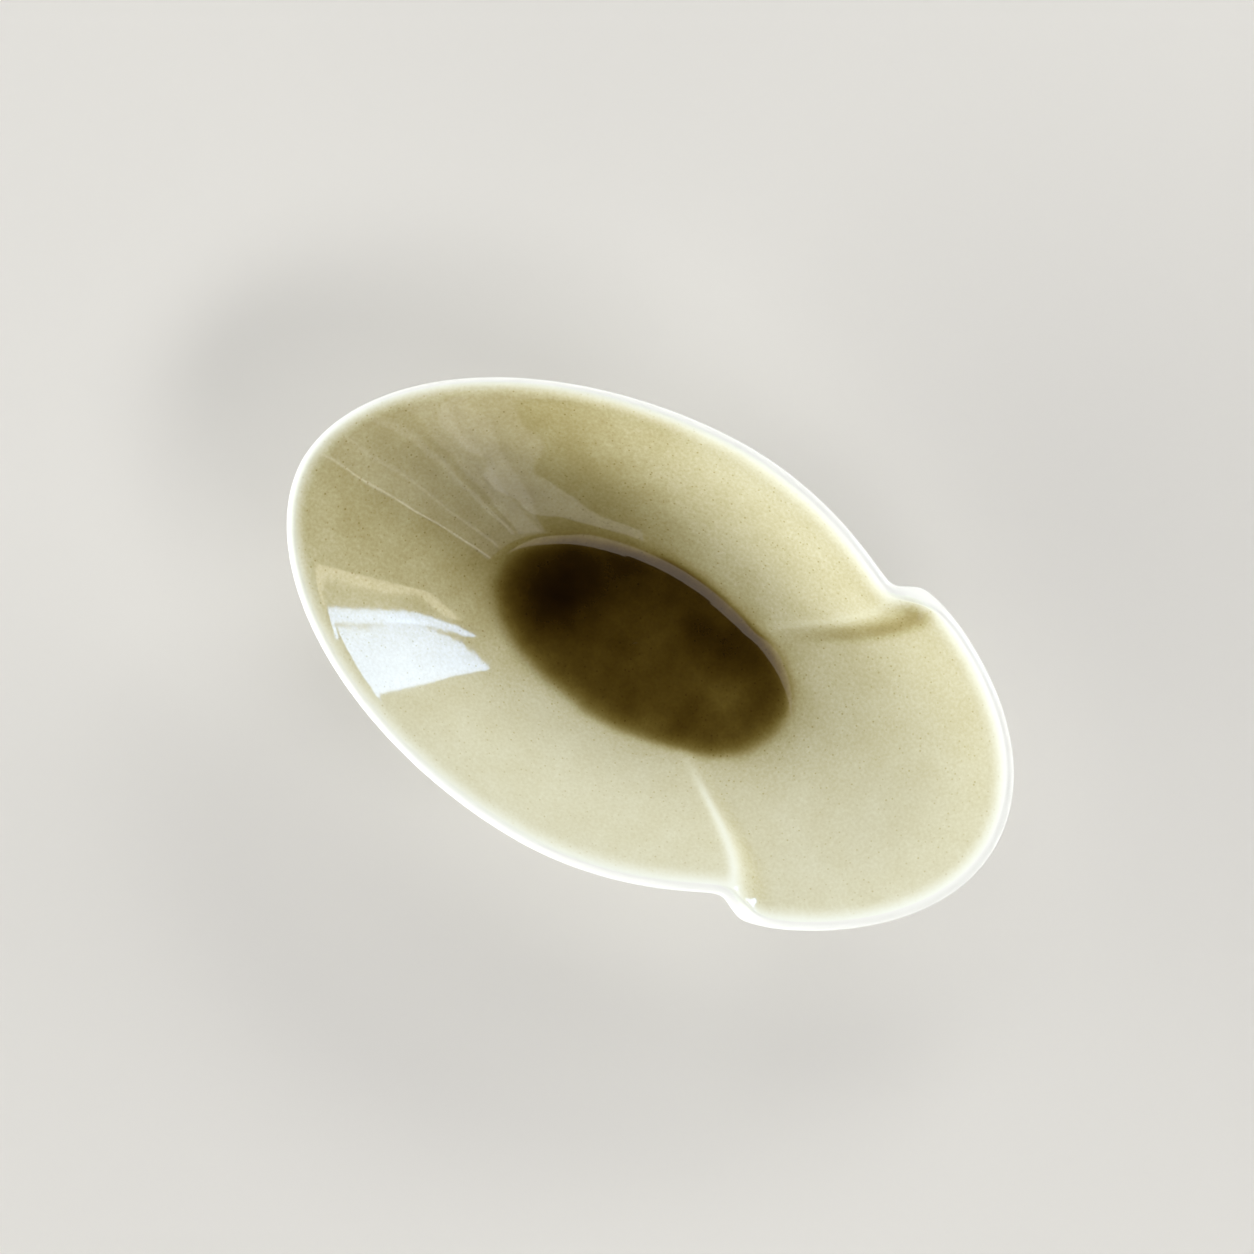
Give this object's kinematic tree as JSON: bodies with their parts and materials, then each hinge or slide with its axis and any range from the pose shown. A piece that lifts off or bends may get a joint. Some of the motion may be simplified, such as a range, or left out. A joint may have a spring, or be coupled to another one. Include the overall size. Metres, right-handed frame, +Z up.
{
  "type": "amuse-bouche dish",
  "caption": "Small oval porcelain dish with a tapered bowl lapped over a front lobe, celadon glaze inside darkening to a pool in the well, on an oval foot ring.",
  "frame": {"origin": "centre of the bounding box in plan, on the plane the foot ring stands on", "axes": "+X along the dish from the bowl's back towards the lobe's tip, +Y across the dish, +Z up out of the hollow"},
  "size_m": [0.13, 0.0746, 0.026],
  "materials": {
    "bowl_porcelain": "white porcelain under clear glossy glaze",
    "lobe_porcelain": "white porcelain under clear glossy glaze",
    "bare_porcelain": "unglazed fired porcelain, matt",
    "bowl_celadon": "glossy olive-cream celadon glaze with fine iron specks",
    "lobe_celadon": "glossy pale cream celadon glaze with fine iron specks",
    "pool_glass": "thick glossy olive-brown pooled glaze"
  },
  "bodies": {
    "root": {"bowl_leaf": "bowl_porcelain", "lobe_leaf": "lobe_porcelain", "foot_ring": "bare_porcelain", "bowl_glaze": "bowl_celadon", "lobe_glaze": "lobe_celadon", "glaze_pool": "pool_glass"}
  },
  "joints": []
}
